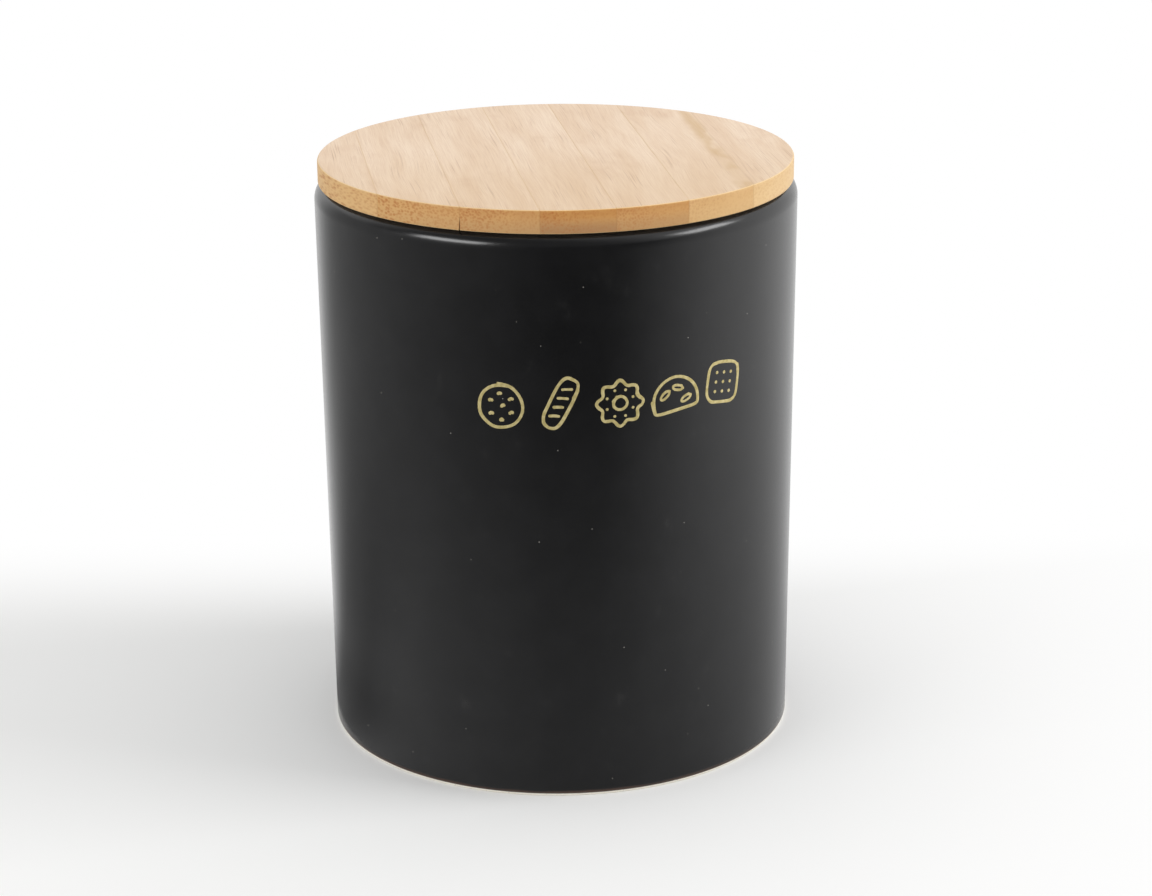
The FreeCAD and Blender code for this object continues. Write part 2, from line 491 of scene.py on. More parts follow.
# %% The flat face
def face_colour(tree, place, drift, hair, smudge, along):
    here = ramp(tree, noise(tree, place, (0.12, 0.03, 0.2), detail=2.0), 0.38, 0.64, 0.1, 1.0)
    fine = fibre_bundles(tree, place, 0.50, 0.37, 32.0)
    sparse = fibre_bundles(tree, place, 1.3, 0.18, 62.0)
    tone = blend(tree, ramp(tree, drift, 0.3, 0.7), FACE_DARK, FACE_LIGHT)
    tone = blend(tree, ramp(tree, hair, 0.32, 0.62, 0.42, 0.0), tone, FACE_FIBRE)
    tone = blend(tree, ramp(tree, smudge, 0.54, 0.76, 0.0, 0.30), tone, FACE_FIBRE)
    tone = blend(tree, ramp(tree, along, -68.0, 25.0, 0.26, 0.0), tone, FACE_GOLDEN)
    tone = blend(tree, product(tree, fine, here, 0.36), tone, FACE_BUNDLE)
    return blend(tree, product(tree, sparse, here, 0.36), tone, FACE_BUNDLE)


def streak_share(tree, straight, across, golden_at, hair, smudge, flat):
    """How golden the face is round a place across the grain, with a ragged edge and gaps."""
    away = calc(tree, 'ABSOLUTE', calc(tree, 'SUBTRACT', across, golden_at))
    ragged = calc(tree, 'ADD', away, calc(tree, 'MULTIPLY_ADD', smudge, 5.0, -2.5))
    gaps = ramp(tree, noise(tree, straight, (0.09, 0.045, 0.2), detail=2.0), 0.42, 0.56, 0.35, 1.0)
    return product(tree, ramp(tree, ragged, 0.6, 3.2, 0.9, 0.0), ramp(tree, hair, 0.3, 0.7, 0.35, 0.9),
                   gaps, flat)


# %% [markdown]
# On a cut end, orange-brown bundles crowd towards the stem's skin, at the top, and towards the bottom
# the end is painted duller and pinker, as painted shade. A side is plainer. Round the disc's rim the
# one passes into the other, as the rim turns from across the grain to along it.

# %% The rim
def rim_colour(tree, place, dots, drift, hair, skin, dotted, rise, end):
    fine_dots = fibre_bundles(tree, place, 0.72, 0.60, 24.0)
    upper = calc(tree, 'MULTIPLY_ADD', rise, 0.6, 0.4)
    side_tone = blend(tree, skin, SIDE_PALE, SIDE_GOLDEN)
    end_tone = blend(tree, product(tree, skin, upper), END_PALE, END_GOLDEN)
    end_tone = blend(tree, ramp(tree, drift, 0.35, 0.7, 0.0, 0.3), end_tone, side_tone)
    # Painted shade: the end is painted duller and pinker towards the bottom of the rim.
    lower_shade = product(tree, ramp(tree, rise, 0.0, 0.85, 1.0, 0.0), calc(tree, 'POWER', skin, 2.0), 0.65)
    end_tone = blend(tree, lower_shade, end_tone, END_LOWER_SHADE)
    end_tone = blend(tree, product(tree, dots, dotted, 0.7), end_tone, END_DOT)
    end_tone = blend(tree, product(tree, fine_dots, upper, dotted), end_tone, END_DOT)
    side_tone = blend(tree, product(tree, fine_dots, 0.16), side_tone, END_DOT)
    side_tone = blend(tree, product(tree, dots, dotted, 0.5), side_tone, END_DOT)
    side_tone = blend(tree, ramp(tree, hair, 0.32, 0.62, 0.3, 0.0), side_tone, SIDE_GOLDEN)
    return blend(tree, end, side_tone, end_tone)


# %% [markdown]
# A strip was cut from one stem, so it has its own shade and its own run of fibres. How near the skin it
# was cut sets how golden its end is and how deep the painted shade at its lower end is, and its age sets
# how dark the bundles are, more so at its left side.
# These shares were judged.

# %% The bamboo of a board
OWN_PLACE_ALONG = 211.0
OWN_PLACE_UP = 37.0


def make_bamboo(name, first_joint, strip_width, board_bottom, board_top, skin_shares, dot_shares,
                golden_at=None):
    """The bamboo of one board, whose joints lie at first_joint and every strip_width beyond it."""
    material, tree, shader = new_material(name)
    straight, wavy = grain_place(tree)
    parts = add(tree, "SeparateXYZ", Vector=straight)
    across, height = parts.outputs["X"], parts.outputs["Z"]
    normal = tree.nodes.new("ShaderNodeTexCoord").outputs["Normal"]
    facing = add(tree, "Mapping", Vector=normal, Rotation=(0, 0, -lid_turn_angle))
    faces = add(tree, "SeparateXYZ", Vector=facing.outputs[0])

    steps = calc(tree, 'DIVIDE', calc(tree, 'SUBTRACT', across, first_joint), strip_width)
    number = calc(tree, 'FLOOR', steps)
    own_place = add(tree, "CombineXYZ", Y=product(tree, number, OWN_PLACE_ALONG),
                    Z=product(tree, number, OWN_PLACE_UP)).outputs[0]
    place = vector_calc(tree, 'ADD', wavy, own_place)
    into_strip = calc(tree, 'FRACT', steps)
    skin = pick(tree, number, skin_shares)
    dotted = product(tree, pick(tree, number, dot_shares), ramp(tree, into_strip, 0.15, 0.85, 1.25, 0.5))

    # How far a point looks along the grain: 1 on a cut end, 0 on a face or a side.
    end = calc(tree, 'POWER', calc(tree, 'ABSOLUTE', faces.outputs["Y"]), 1.3)
    flat = ramp(tree, calc(tree, 'ABSOLUTE', faces.outputs["Z"]), 0.55, 0.95)
    rise = ramp(tree, height, board_bottom, board_top)

    drift = noise(tree, place, (0.10, 0.014, 0.2))
    hair = noise(tree, place, (4.6, 0.06, 4.6), detail=5.0, roughness=0.75)
    smudge = noise(tree, straight, (0.06, 0.03, 0.1), detail=4.0)
    dots = fibre_bundles(tree, place, 0.92, 0.50, 24.0)
    face_tone = face_colour(tree, place, drift, hair, smudge, parts.outputs["Y"])
    rim_tone = rim_colour(tree, place, dots, drift, hair, skin, dotted, rise, end)
    tone = blend(tree, flat, rim_tone, face_tone)
    if golden_at is not None:
        streak = streak_share(tree, straight, across, golden_at, hair, smudge, flat)
        tone = blend(tree, streak, tone, FACE_GOLDEN)

    # A painted highlight lightens the edge between face and rim, and each glued joint is a faint line.
    edge = product(tree, flat, calc(tree, 'SUBTRACT', 1.0, flat), 2.4)
    tone = blend(tree, edge, tone, EDGE_HIGHLIGHT)
    to_side = calc(tree, 'MINIMUM', into_strip, calc(tree, 'SUBTRACT', 1.0, into_strip))
    to_joint = product(tree, to_side, strip_width)
    tone = blend(tree, ramp(tree, to_joint, 0.05, 0.30, 0.12, 0.0), tone, JOINT_LINE)
    feed(tree, shader.inputs["Base Color"], tone)

    feed(tree, shader.inputs["Roughness"], calc(tree, 'MULTIPLY_ADD', hair, 0.16, 0.46))
    shader.inputs["IOR"].default_value = 1.45
    shader.inputs["Specular IOR Level"].default_value = 0.35
    relief = calc(tree, 'MULTIPLY_ADD', dots, -0.4, hair)
    bump = add(tree, "Bump", Height=relief, Strength=0.35, Distance=0.04 * mm)
    feed(tree, shader.inputs["Normal"], bump.outputs[0])
    return material


# %% [markdown]
# The lid is glued up from flat strips, then the disc is cut from the board and sanded. Modelling the
# disc once and slicing it keeps the strips in true contact: every strip is a copy of the whole board,
# cut by two planes along the grain. The cut faces are closed again, so each strip is a solid of its
# own, as it was before gluing.

# %% Cut a board into strips
glue_ease = 0.05 * mm
grain_across = Vector((math.cos(lid_turn_angle), math.sin(lid_turn_angle), 0))


def strip_edges(radius, first_width, last_width, count):
    """Where the edges and joints of a board lie across the grain."""
    inner = (2 * radius - first_width - last_width) / (count - 2)
    return [-radius] + [first_width - radius + inner * n for n in range(count - 1)] + [radius]


def saw(bm, distance, side):
    """Cut away what lies past a distance across the grain, and close the cut."""
    everything = bm.verts[:] + bm.edges[:] + bm.faces[:]
    cut = bmesh.ops.bisect_plane(bm, geom=everything, dist=MERGE_DISTANCE / 10,
                                 plane_co=grain_across * distance, plane_no=grain_across * side,
                                 clear_outer=True, clear_inner=False)
    edges = [item for item in cut["geom_cut"] if isinstance(item, bmesh.types.BMEdge)]
    face = bmesh.ops.contextual_create(bm, geom=edges)["faces"]
    outline = list({edge for part in face for edge in part.edges})
    bmesh.ops.bevel(bm, geom=outline, offset=glue_ease, offset_type='OFFSET', segments=1,
                    profile=0.5, affect='EDGES', clamp_overlap=True, material=-1)


def make_strips(make_board, edges, prefix, node_prefix, material, finish=None):
    """Saw a board into its strips, from left to right, and hand each one over."""
    for index in range(len(edges) - 1):
        bm = make_board()
        if index > 0:
            saw(bm, edges[index], -1)
        if index < len(edges) - 2:
            saw(bm, edges[index + 1], 1)
        if finish:
            finish(bm, index + 1)
        bmesh.ops.recalc_face_normals(bm, faces=bm.faces)
        number = str(index + 1)
        hand_over(bm, prefix + number, material, "lid", [node_prefix + number])


# %% The lid's upper board
lid_edge_top = 0.7 * mm
lid_edge_bottom = 0.5 * mm
lid_first_strip = 13.7 * mm
lid_last_strip = 20.4 * mm
lid_strip_count = 7
lid_edges = strip_edges(lid_radius, lid_first_strip, lid_last_strip, lid_strip_count)
lid_strip_width = lid_edges[2] - lid_edges[1]


def lid_board():
    bm = turned([(0, jar_height), (lid_radius, jar_height), (lid_radius, lid_top), (0, lid_top)],
                closed=False)
    ease_ring(bm, lid_radius, lid_top, lid_edge_top, 5)
    ease_ring(bm, lid_radius, jar_height, lid_edge_bottom, 4)
    return bm


# %% [markdown]
# Where one joint of the real lid meets the front edge, the glue has let go for a few millimetres and a
# small dark crack stands open in the lower half of the rim. A painted line would stay flat from close
# by, so the strip on one side is cut across twice near that corner, without taking anything away, and
# the new corner is drawn back from its neighbour.

# %% The open crack at one joint
crack_strip = 2
crack_width = 0.30 * mm
crack_length = 6.0 * mm
crack_rise = 3.7 * mm
crack_steepness = 1.6
grain_along = Vector((-grain_across.y, grain_across.x, 0))


def open_crack(bm, number):
    """Draw the front lower corner of one strip back from the joint at its right side."""
    if number != crack_strip:
        return
    joint = lid_edges[number]
    front = -math.sqrt(lid_radius ** 2 - joint ** 2)
    inner_end = grain_along * (front + crack_length)
    upper_end = Vector((0, 0, jar_height + crack_rise))
    for point, direction in ((inner_end, grain_along), (upper_end, Vector((0, 0, 1)))):
        everything = bm.verts[:] + bm.edges[:] + bm.faces[:]
        bmesh.ops.bisect_plane(bm, geom=everything, dist=MERGE_DISTANCE, plane_co=point,
                               plane_no=direction, clear_outer=False, clear_inner=False)
    moved = 0
    for vert in bm.verts:
        at_joint = abs(vert.co.dot(grain_across) - joint) < 3 * glue_ease
        forward = (front + crack_length - vert.co.dot(grain_along)) / crack_length
        down = (jar_height + crack_rise - vert.co.z) / crack_rise
        if at_joint and forward > 0 and down > 0:
            vert.co -= grain_across * crack_width * min(forward, 1) * min(down * crack_steepness, 1)
            moved += 1
    print("crack: corners drawn back", moved)


# %% The lid's strips
golden_streak = 46.4
lid_skin_shares = (0.55, 0.75, 0.82, 1.08, 0.88, 0.45, 0.15)
lid_dot_shares = (1.0, 0.75, 0.45, 0.35, 0.3, 0.15, 0.1)
lid_bamboo = make_bamboo("bamboo of the lid", lid_edges[1] / mm, lid_strip_width / mm,
                         jar_height / mm, lid_top / mm, lid_skin_shares, lid_dot_shares, golden_streak)
make_strips(lid_board, lid_edges, "lid_board_strip_", "lid_strip_", lid_bamboo, open_crack)
print("joints across the lid, mm:", [round(edge / mm, 1) for edge in lid_edges])

# %% The plug's board
plug_gap = 3.0 * mm
plug_depth = 8.2 * mm
plug_edge = 0.9 * mm
groove_height = 4.6 * mm
groove_depth = 2.4 * mm
groove_drop = 1.7 * mm
plug_radius = mouth_radius - plug_gap
plug_bottom = jar_height - plug_depth
groove_radius = plug_radius - groove_depth
groove_top = jar_height - groove_drop
groove_bottom = groove_top - groove_height
groove_edge = 0.25 * mm
plug_edge_strip = 19.6 * mm
plug_strip_count = 6
plug_edges = strip_edges(plug_radius, plug_edge_strip, plug_edge_strip, plug_strip_count)


def plug_board():
    bm = turned([
        (0, plug_bottom),
        (plug_radius, plug_bottom),
        (plug_radius, groove_bottom),
        (groove_radius, groove_bottom),
        (groove_radius, groove_top),
        (plug_radius, groove_top),
        (plug_radius, jar_height),
        (0, jar_height),
    ], closed=False)
    ease_ring(bm, plug_radius, plug_bottom, plug_edge, 4)
    ease_ring(bm, plug_radius, groove_bottom, groove_edge, 3)
    ease_ring(bm, plug_radius, groove_top, groove_edge, 3)
    return bm


plug_skin_shares = (0.5, 0.2, 0.8, 0.35, 0.6, 0.3)
plug_dot_shares = (0.5, 0.3, 0.6, 0.3, 0.5, 0.3)
plug_bamboo = make_bamboo("bamboo of the plug", plug_edges[1] / mm,
                          (plug_edges[2] - plug_edges[1]) / mm, plug_bottom / mm, jar_height / mm,
                          plug_skin_shares, plug_dot_shares)
make_strips(plug_board, plug_edges, "plug_board_strip_", "plug_strip_", plug_bamboo)

# %% [markdown]
# The seal is a moulded silicone band with two soft lips. Silicone is milky: light enters it and
# scatters, so it needs some subsurface scattering and a little transmission, not plain white paint.

# %% The silicone seal
seal_slip = 0.08 * mm
band_proud = 0.4 * mm
lip_thickness = 0.9 * mm
lip_rise = 0.7 * mm
lip_inset = 0.35 * mm
lip_clearance = 0.25 * mm
lip_tip = 0.3 * mm


def make_silicone():
    material, tree, shader = new_material("milky silicone")
    place = position(tree)
    haze = add(tree, "TexNoise", Vector=place, Scale=0.4, Detail=3.0).outputs[0]
    dust = add(tree, "TexNoise", Vector=place, Scale=5.0, Detail=2.0).outputs[0]
    tone = blend(tree, haze, srgb(226, 226, 220), srgb(238, 239, 236))
    feed(tree, shader.inputs["Base Color"], tone)
    feed(tree, shader.inputs["Roughness"], ramp(tree, dust, 0.3, 0.7, 0.30, 0.46))
    shader.inputs["IOR"].default_value = 1.41
    shader.inputs["Transmission Weight"].default_value = 0.25
    shader.inputs["Subsurface Weight"].default_value = 0.3
    shader.inputs["Subsurface Radius"].default_value = (1.0, 1.0, 0.9)
    shader.inputs["Subsurface Scale"].default_value = 1.5 * mm
    bump = add(tree, "Bump", Height=dust, Strength=0.15, Distance=0.03 * mm)
    feed(tree, shader.inputs["Normal"], bump.outputs[0])
    return material


def make_seal():
    bottom = groove_bottom + seal_slip
    top = groove_top - seal_slip
    inner = groove_radius + seal_slip
    outer = plug_radius + band_proud
    lip_outer = outer_radius(groove_bottom) - wall - lip_clearance
    roots = [bottom + lip_inset, top - lip_inset - lip_thickness]
    section = [(inner, bottom), (outer, bottom)]
    for root in roots:
        section += [(outer, root), (lip_outer, root + lip_rise),
                    (lip_outer, root + lip_rise + lip_thickness), (outer, root + lip_thickness)]
    section += [(outer, top), (inner, top)]
    bm = turned(section, closed=True)
    for root in roots:
        ease_ring(bm, lip_outer, root + lip_rise, lip_tip, 3)
        ease_ring(bm, lip_outer, root + lip_rise + lip_thickness, lip_tip, 3)
    hand_over(bm, "silicone_seal", make_silicone(), "seal", ["seal_ring"])


make_seal()

# %% [markdown]
# On the front runs a row of five little biscuits, drawn freehand in matt gold and fired on. A painter
# draws each outline in one go, and where the line comes round again it doesn't quite meet its start. So
# every line here is a smooth curve through a few points that shake a little. The curves are drawn flat,
# given a round section as wide as the brush, pressed almost flat, and wrapped round the jar's wall.

# %% The brush
brush_width = 0.92 * mm
print_flatness = 0.1
print_height = 117.6 * mm
hand = random.Random(11)


def dab(bm, x, y, width=1.0):
    """One touch of the brush, at a place in millimetres."""
    blob = bmesh.ops.create_uvsphere(bm, u_segments=12, v_segments=6, radius=brush_width * width / 2)
    bmesh.ops.translate(bm, verts=blob["verts"], vec=(x * mm, y * mm, 0))


def draw(bm, points, shake=0.12, width=1.0):
    """One line of the brush through points in millimetres."""
    shaken = [(x + hand.uniform(-shake, shake), y + hand.uniform(-shake, shake)) for x, y in points]
    curve = bpy.data.curves.new("line", 'CURVE')
    curve.dimensions = '3D'
    curve.bevel_depth = brush_width * width / 2
    curve.bevel_resolution = 2
    curve.resolution_u = 5
    spline = curve.splines.new('NURBS')
    spline.points.add(len(shaken) - 1)
    for point, (x, y) in zip(spline.points, shaken):
        point.co = (x * mm, y * mm, 0, 1)
        point.radius = hand.uniform(0.86, 1.10)
    spline.use_endpoint_u = True
    spline.order_u = 3
    holder = bpy.data.objects.new("line", curve)
    mesh = bpy.data.meshes.new_from_object(holder)
    bm.from_mesh(mesh)
    bpy.data.objects.remove(holder)
    bpy.data.meshes.remove(mesh)
    dab(bm, *shaken[0], width)
    dab(bm, *shaken[-1], width)


def in_row(x, y, tilt, px, py):
    """Where a biscuit's own point lies in the row, once the biscuit is tilted and moved to its place."""
    lean = math.radians(tilt)
    return (x + px * math.cos(lean) - py * math.sin(lean), y + px * math.sin(lean) + py * math.cos(lean))


def draw_round(bm, points, x, y=0.0, tilt=0.0, shake=0.12, width=1.0, overrun=1, drift=0.035):
    """An outline drawn in one go: it drifts outwards as it comes round, and runs over its start."""
    moved = []
    for index, (px, py) in enumerate(points + points[:overrun + 1]):
        share = 1 + drift * (index / len(points) - 0.5)
        moved.append(in_row(x, y, tilt, px * share, py * share))
    draw(bm, moved, shake, width)


# %% [markdown]
# Each biscuit is a short formula: a ring, a ring with lobes, a squared ring, an arch. Tilting and
# moving its points gives it its place in the row.

# %% The shapes of the biscuits
def ring(radius, count=12, lobes=0, depth=0.0, height_share=1.0, start=0.0):
    """Points on a ring. With lobes, its radius swells and shrinks by a depth."""
    points = []
    for index in range(count):
        turn = math.tau * index / count + math.radians(start)
        reach = radius + depth * math.cos(lobes * turn)
        points.append((reach * math.cos(turn), reach * math.sin(turn) * height_share))
    return points


def squared(half_width, half_height, corner, count=20):
    """Points on a ring pushed out towards a rectangle. A small corner value makes sharp corners."""
    def push(value):
        return math.copysign(abs(value) ** corner, value)
    turns = [math.tau * (index + 0.5) / count for index in range(count)]
    return [(half_width * push(math.cos(turn)), half_height * push(math.sin(turn))) for turn in turns]


# %% The five biscuits
def chip_round(bm, x, y):
    draw_round(bm, ring(6.3, 14, start=70), x, y, shake=0.2, overrun=1)
    chips = ((-2.9, 1.7), (-0.3, 3.7), (2.9, 2.3), (0.6, 0.3), (3.0, -1.7), (-2.7, -2.0), (0.2, -3.8))
    for chip_x, chip_y in chips:
        draw(bm, [(x + chip_x - 0.35, y + chip_y - 0.2), (x + chip_x, y + chip_y + 0.25),
                  (x + chip_x + 0.35, y + chip_y - 0.1)], shake=0.1, width=1.0)


def finger(bm, x, y):
    tilt = -26.0
    draw_round(bm, squared(2.9, 7.7, 0.6, 18), x, y, tilt, shake=0.16)
    for step in (-4.2, -1.4, 1.4, 4.2):
        line = [(-1.15, step - 0.5), (0.0, step + 0.1), (1.15, step + 0.5)]
        draw(bm, [in_row(x, y, tilt, px, py) for px, py in line], shake=0.08, width=0.85)


def flower(bm, x, y):
    draw_round(bm, ring(6.0, 40, 8, 0.75, start=10), x, y, shake=0.07, overrun=2)
    draw_round(bm, ring(2.1, 8, start=120), x, y, shake=0.1, width=0.9)
    for petal in range(8):
        turn = math.tau * (petal + 0.5) / 8
        dab(bm, x + 4.0 * math.cos(turn), y + 4.0 * math.sin(turn), 0.9)


def almond_slice(bm, x, y):
    arch = [(-6.9, -3.6), (-7.2, -0.6), (-5.8, 2.6), (-2.6, 4.9), (1.2, 5.3), (4.9, 3.5), (7.0, 0.2),
            (7.2, -3.3), (6.3, -4.5), (2.2, -4.5), (-2.2, -4.6), (-6.2, -4.6)]
    draw_round(bm, arch, x, y, 7.0, shake=0.14)
    for nut_x, nut_y, tilt in ((-3.3, 0.1, 40.0), (0.7, 1.9, -12.0), (3.4, -1.5, 25.0)):
        draw_round(bm, ring(1.5, 8, 2, 0.3, 0.6), x + nut_x, y + nut_y, tilt, shake=0.05, width=0.8)


def cracker(bm, x, y):
    draw_round(bm, squared(5.8, 5.8, 0.5, 24), x, y, -8.0, shake=0.12, overrun=2)
    for column in (-2.7, 0.0, 2.7):
        for row in (-2.7, 0.0, 2.7):
            dab(bm, x + column + row * 0.14, y + row - column * 0.14, 1.05)


# %% The gold
def make_gold():
    material, tree, shader = new_material("fired matt gold")
    place = position(tree)
    pooled = add(tree, "TexNoise", Vector=place, Scale=0.9, Detail=3.0).outputs[0]
    grain = add(tree, "TexNoise", Vector=place, Scale=6.0, Detail=3.0, Roughness=0.7).outputs[0]
    tone = blend(tree, ramp(tree, pooled, 0.3, 0.7), srgb(187, 171, 110), srgb(214, 199, 144))
    tone = blend(tree, ramp(tree, grain, 0.62, 0.74, 0.0, 0.5), tone, srgb(96, 78, 44))
    feed(tree, shader.inputs["Base Color"], tone)
    feed(tree, shader.inputs["Roughness"], ramp(tree, grain, 0.3, 0.7, 0.42, 0.60))
    shader.inputs["Metallic"].default_value = 0.3
    bump = add(tree, "Bump", Height=grain, Strength=0.25, Distance=0.03 * mm)
    feed(tree, shader.inputs["Normal"], bump.outputs[0])
    return material


# %% Wrap the row round the wall
biscuit_pitch = 16.6
biscuit_lifts = (-0.7, 0.6, -0.3, 0.2, 0.9)


def wrap(bm):
    """Bend a drawing round the wall: its X runs round the jar, its Y up and its Z outwards."""
    for vert in bm.verts:
        height = print_height + vert.co.y
        turn = vert.co.x / rim_radius - math.pi / 2
        reach = outer_radius(height) + vert.co.z * print_flatness
        vert.co = (reach * math.cos(turn), reach * math.sin(turn), height)


def make_decoration():
    biscuits = (chip_round, finger, flower, almond_slice, cracker)
    bm = bmesh.new()
    for index, (biscuit, lift) in enumerate(zip(biscuits, biscuit_lifts)):
        biscuit(bm, biscuit_pitch * (index - (len(biscuits) - 1) / 2), lift)
    wrap(bm)
    bmesh.ops.recalc_face_normals(bm, faces=bm.faces)
    hand_over(bm, "gold_biscuit_row", make_gold(), "jar")


make_decoration()

# %% [markdown]
# The floor is a plain pale sheet. Near the jar it is an ordinary matt surface that takes its shadow.
# Behind the jar, and further out all round, it fades to plain white for the camera and for
# reflections, so that the sheet has no horizon from any side. The matt part reaches further to the
# left, where the jar's deeper shadow falls. To the right the white glow begins nearer the jar, as
# painted light that lightens the floor and the jar's shadow there.

# %% The floor
camera_azimuth = math.radians(-14.1)
to_camera = Vector((math.sin(camera_azimuth), -math.cos(camera_azimuth), 0))
# The white glow is centred a little to the left, so on the right it paints the floor lighter near the jar.
pool_aside = 0.09
pool_middle = Vector((to_camera.y, -to_camera.x, 0)) * pool_aside
pool_edge = (0.10, 0.42)
back_fade = (0.06, 0.15)
sheet_radius = 5.0


def make_floor():
    material, tree, shader = new_material("pale sheet")
    place = tree.nodes.new("ShaderNodeTexCoord").outputs["Object"]
    distance = vector_calc(tree, 'LENGTH', vector_calc(tree, 'SUBTRACT', place, pool_middle))
    grain = add(tree, "TexNoise", Vector=place, Scale=900.0, Detail=2.0).outputs[0]
    feed(tree, shader.inputs["Base Color"], srgb(250, 250, 249))
    feed(tree, shader.inputs["Roughness"], ramp(tree, grain, 0.3, 0.7, 0.75, 0.85))
    shader.inputs["Specular IOR Level"].default_value = 0.0
    rays = tree.nodes.new("ShaderNodeLightPath")
    seen = calc(tree, 'MAXIMUM', rays.outputs["Is Camera Ray"],
                calc(tree, 'MAXIMUM', rays.outputs["Is Glossy Ray"], rays.outputs["Is Transmission Ray"]))
    behind = calc(tree, 'MULTIPLY', vector_calc(tree, 'DOT_PRODUCT', place, to_camera), -1.0)
    away = calc(tree, 'MAXIMUM', ramp(tree, behind, *back_fade), ramp(tree, distance, *pool_edge))
    fade = product(tree, away, seen)
    white = add(tree, "Emission", Color=(1, 1, 1, 1), Strength=1.0)
    mixed = add(tree, "MixShader", Fac=fade)
    tree.links.new(shader.outputs[0], mixed.inputs[1])
    tree.links.new(white.outputs[0], mixed.inputs[2])
    tree.links.new(mixed.outputs[0], surface_of(tree))
    bm = bmesh.new()
    bmesh.ops.create_circle(bm, cap_ends=True, cap_tris=False, segments=96, radius=sheet_radius)
    bmesh.ops.recalc_face_normals(bm, faces=bm.faces)
    sheet = put_in_scene(bm, "floor_sheet", material)


make_floor()

# %% [markdown]
# The light is a plain studio: an even pale surround and one soft box high on each side. The surround is
# white to the camera and in reflections, except towards the front and a little to the left, where the
# room behind the photographer is dark. It lights matt surfaces more weakly, so that the boxes give the
# jar its form.

# %% The surround
SURROUND_LIGHT = 0.80
ROOM_DARK = 0.15
dark_azimuth = camera_azimuth - math.radians(30)
to_dark_room = Vector((math.sin(dark_azimuth), -math.cos(dark_azimuth), 0))


def make_surround():
    world = bpy.data.worlds.new("studio")
    bpy.context.scene.world = world
    world.use_nodes = True
    tree = world.node_tree
    tree.nodes.clear()
    rays = tree.nodes.new("ShaderNodeLightPath")
    direction = tree.nodes.new("ShaderNodeTexCoord").outputs["Generated"]
    forward = vector_calc(tree, 'DOT_PRODUCT', direction, to_dark_room)
    mirrored = ramp(tree, forward, -0.2, 0.5, 1.0, ROOM_DARK)
    seen = calc(tree, 'MAXIMUM', rays.outputs["Is Camera Ray"], rays.outputs["Is Transmission Ray"])
    strength = calc(tree, 'ADD', calc(tree, 'MULTIPLY', rays.outputs["Is Glossy Ray"], mirrored), seen)
    lighting = calc(tree, 'MAXIMUM', rays.outputs["Is Diffuse Ray"], rays.outputs["Is Volume Scatter Ray"])
    strength = calc(tree, 'MULTIPLY_ADD', lighting, SURROUND_LIGHT, strength)
    light = add(tree, "Background", Color=(1, 1, 1, 1), Strength=strength)
    output = tree.nodes.new("ShaderNodeOutputWorld")
    tree.links.new(light.outputs[0], output.inputs["Surface"])


make_surround()

# %% [markdown]
# A glossy black jar on a white sheet would mirror the sheet everywhere and look grey. A photographer
# stands a dark card, called a flag, round the front of such an object, and its reflection is the black
# that the picture needs. This flag is a sloping card bent round the jar. Only reflections meet it. It
# glows with a painted brightness, as a painted reflection of the room: black in front, grey towards the
# table and the left, and white at the right, a painted reflection of the lit side. Each part of the card
# is one term of its glow, and the terms are added up. A painted shadow of the jar on the table darkens
# it at the left foot, and both its ends fade to the light beyond them.

# %% The flag
flag_lip = (0.0705, 0.0005)
flag_foot = (0.088, 0.002)
flag_top = (0.350, 0.300)
flag_left = math.radians(-150)
flag_right = math.radians(135)
LEFT_PER_TURN = 0.355
LEFT_DELAY = 0.019
LEFT_LIMIT = 0.44
RIGHT_LEAN = 2.0
FLAG_END_LIGHT = 0.95
FLAG_END_LOW = 0.65
FOOT_SHADE = 0.36


def between(tree, turn, low, high, start=0.0, end=1.0):
    """Carry a value smoothly from one bearing round the jar to another. Both are in degrees."""
    return ramp(tree, turn, math.radians(low), math.radians(high), start, end)


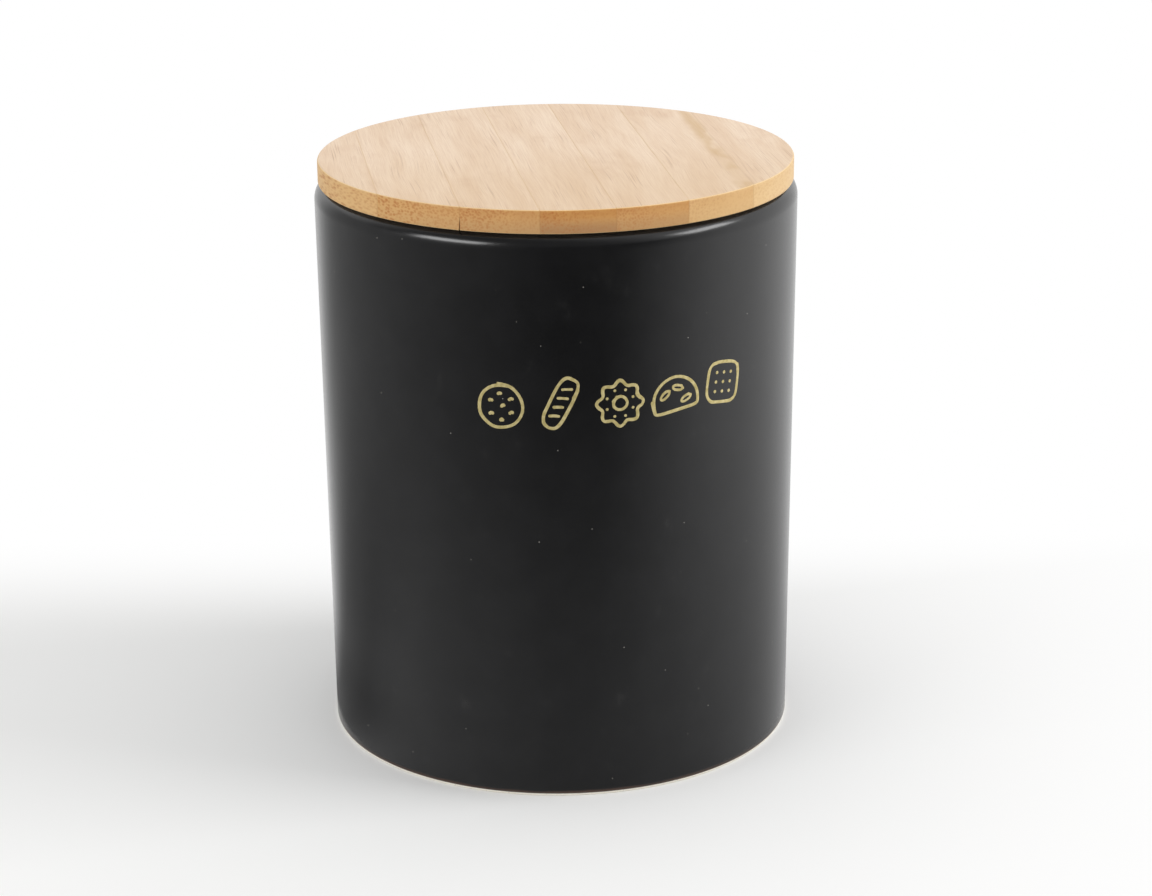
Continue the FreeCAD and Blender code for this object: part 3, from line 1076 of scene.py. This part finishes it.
def make_glowing_flag_card():
    material, tree, shader = new_material("glowing flag card")
    place = tree.nodes.new("ShaderNodeTexCoord").outputs["Object"]
    parts = add(tree, "SeparateXYZ", Vector=place)
    bearing = calc(tree, 'ARCTAN2', parts.outputs["X"], calc(tree, 'MULTIPLY', parts.outputs["Y"], -1.0))
    turn = calc(tree, 'SUBTRACT', bearing, camera_azimuth)
    rise = parts.outputs["Z"]
    # Painted reflections of the room: the table grey near the foot, the left grey, the right white.
    painted_table_reflection = ramp(tree, rise, 0.0, 0.11, 0.34, 0.04)
    low = ramp(tree, rise, 0.01, 0.10, 1.0, 0.0)
    left = calc(tree, 'MULTIPLY_ADD', turn, -LEFT_PER_TURN, -LEFT_DELAY, clamp=True)
    left = calc(tree, 'MINIMUM', left, LEFT_LIMIT)
    own_shade = product(tree, low, between(tree, turn, -80, -50, 1.0, 0.0))
    left = product(tree, left, calc(tree, 'SUBTRACT', 1.0, own_shade))
    left_end = calc(tree, 'MULTIPLY_ADD', between(tree, turn, -120, -96, 0.6, 0.0), low,
                    between(tree, turn, -140, -110, 0.5, 0.0))
    leaning = calc(tree, 'MULTIPLY_ADD', rise, -RIGHT_LEAN, turn)
    right = product(tree, between(tree, leaning, 3, 63), ramp(tree, rise, -0.02, 0.12, 0.27, 1.10))
    strength = painted_table_reflection
    for term in (left, left_end, right):
        strength = calc(tree, 'ADD', strength, term)

    # Painted shadow of the jar on the table, near its left foot.
    painted_foot_shadow = product(tree, ramp(tree, rise, 0.001, 0.016, FOOT_SHADE, 0.0),
                      between(tree, turn, -72, -42, 1.0, 0.0))
    strength = product(tree, strength, calc(tree, 'SUBTRACT', 1.0, painted_foot_shadow))
    ends = calc(tree, 'MAXIMUM', ramp(tree, turn, math.radians(98), flag_right),
                ramp(tree, turn, flag_left, math.radians(-128), 1.0, 0.0))
    beyond = ramp(tree, rise, 0.0, 0.02, FLAG_END_LOW, FLAG_END_LIGHT)
    strength = add(tree, "Mix", Factor=ends, A=strength, B=beyond).outputs["Result"]
    glow = add(tree, "Emission", Color=(1, 1, 1, 1), Strength=strength)
    tree.nodes.remove(shader)
    tree.links.new(glow.outputs[0], surface_of(tree))
    return material


def make_flag():
    bm = bmesh.new()
    points = [bm.verts.new((0, -radius, height)) for radius, height in (flag_lip, flag_foot, flag_top)]
    lines = [bm.edges.new(pair) for pair in zip(points[:-1], points[1:])]
    start = Matrix.Rotation(camera_azimuth + flag_left, 4, 'Z')
    bmesh.ops.transform(bm, matrix=start, verts=points)
    bmesh.ops.spin(bm, geom=points + lines, cent=(0, 0, 0), axis=(0, 0, 1), dvec=(0, 0, 0),
                   angle=flag_right - flag_left, steps=64, use_merge=False, use_duplicate=False)
    bmesh.ops.recalc_face_normals(bm, faces=bm.faces)
    flag = put_in_scene(bm, "flag", make_glowing_flag_card())
    flag.visible_camera = False
    flag.visible_diffuse = False
    flag.visible_transmission = False
    flag.visible_shadow = False
    print("flag faces", len(flag.data.polygons))


make_flag()

# %% [markdown]
# Each soft box is two lamps, one just before the other. The rear one gives the matt surfaces their form
# and shadow, and the front one is seen only in the gloss, so that shine and shadow can be set apart.

# %% The soft boxes
jar_middle = Vector((0, 0, 0.12))
shine_forward = 0.97


def soft_box(name, place, width, height, form_power, shine_power):
    for part, power in (("form", form_power), ("shine", shine_power)):
        light = bpy.data.lights.new(name + " " + part, 'AREA')
        light.shape = 'RECTANGLE'
        light.size = width
        light.size_y = height
        light.energy = power
        box = bpy.data.objects.new(name + " " + part, light)
        box.location = Vector(place) * (shine_forward if part == "shine" else 1.0)
        box.rotation_euler = (jar_middle - Vector(place)).to_track_quat('-Z', 'Y').to_euler()
        box.visible_glossy = part == "shine"
        box.visible_diffuse = part == "form"
        bpy.context.scene.collection.objects.link(box)


soft_box("left box", (-1.02, -0.42, 0.80), width=0.70, height=0.36, form_power=2.0, shine_power=6.6)
soft_box("right box", (1.04, -0.38, 1.02), width=0.68, height=0.31, form_power=5.9, shine_power=5.1)

# %% [markdown]
# The camera stands where the photographer stood: a long lens from a little under a metre, looking
# down at the lid. Its place was worked out from the outline of the jar and the lid.

# %% The camera
camera_distance = 845.14 * mm
camera_height = 364.41 * mm
camera_aside = math.radians(-0.35)
camera_down = math.radians(18.48)
camera_roll = -0.0085

camera_data = bpy.data.cameras.new("photographer")
camera_data.lens = 93.24
camera_data.sensor_width = 36.0
camera = bpy.data.objects.new("photographer", camera_data)
stand = Matrix.Rotation(camera_azimuth, 4, 'Z') @ Vector((0, -camera_distance, camera_height))
aim = (Matrix.Rotation(camera_azimuth + camera_aside, 4, 'Z')
       @ Matrix.Rotation(math.pi / 2 - camera_down, 4, 'X')
       @ Matrix.Rotation(camera_roll, 4, 'Z'))
camera.matrix_world = Matrix.Translation(stand) @ aim
bpy.context.scene.collection.objects.link(camera)
bpy.context.scene.camera = camera
bpy.context.scene.view_settings.view_transform = 'Standard'
